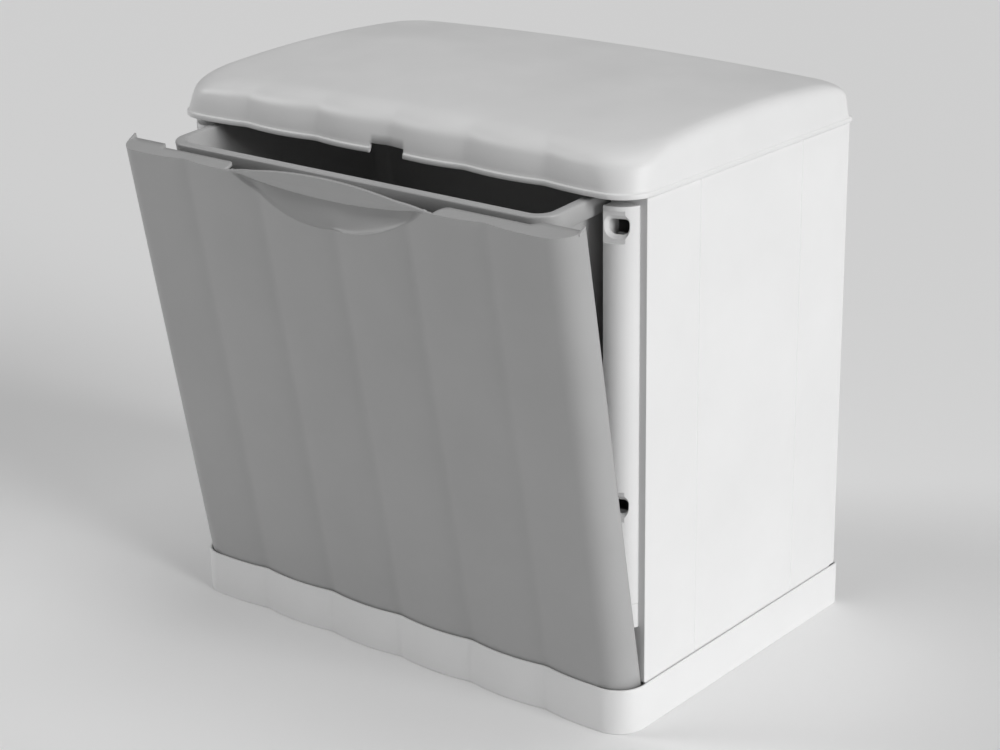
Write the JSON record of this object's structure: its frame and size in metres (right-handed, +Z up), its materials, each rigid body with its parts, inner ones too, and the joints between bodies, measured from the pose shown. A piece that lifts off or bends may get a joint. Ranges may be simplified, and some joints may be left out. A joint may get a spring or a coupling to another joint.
{
  "type": "tilt-front household bin",
  "caption": "Free-standing plastic cabinet bin: fluted front tips forward on hinges at its foot, carrying a lift-out bucket under a domed lift-off lid.",
  "frame": {"origin": "centre of the base tray's footprint, on the floor", "axes": "+X to the right seen from the front, +Y from the door to the back, +Z up; the door rests tipped open on its stop"},
  "size_m": [0.497, 0.4061, 0.5],
  "materials": {
    "white_panel": "fine satin moulded polypropylene",
    "white_lid": "satin moulded polypropylene",
    "grey_door": "satin moulded polypropylene",
    "grey_bin": "satin moulded polypropylene",
    "grey_fittings": "moulded polypropylene",
    "hinge_plastic": "moulded acetal"
  },
  "bodies": {
    "cabinet": {"base_tray": "white_panel", "back_panel": "white_panel", "left_side_panel": "white_panel", "right_side_panel": "white_panel", "left_front_post": "white_panel", "right_front_post": "white_panel", "left_hinge_block": "hinge_plastic", "right_hinge_block": "hinge_plastic"},
    "lid": {"lid": "white_lid"},
    "door": {"door_panel": "grey_door", "bin_ledge": "grey_fittings", "left_bin_hanger": "grey_fittings", "right_bin_hanger": "grey_fittings", "left_hinge_pin": "hinge_plastic", "right_hinge_pin": "hinge_plastic"},
    "bin": {"inner_bin": "grey_bin"}
  },
  "joints": [
    {"name": "door_tilt", "type": "hinge", "parent": "cabinet", "child": "door", "pos_m": [0, -0.15025, 0.032], "axis": [1, 0, 0], "range_deg": [-10.2, 0]},
    {"name": "lid_lift", "type": "slide", "parent": "cabinet", "child": "lid", "axis": [0, 0, 1], "range_m": [0, 0.2]},
    {"name": "bin_lift", "type": "slide", "parent": "door", "child": "bin", "axis": [0, -0.1771, 0.9842], "range_m": [0, 0.15]}
  ],
  "couplings": [
    {"joint": "bin_lift", "follows": "lid_lift", "ratio": 0.75}
  ]
}
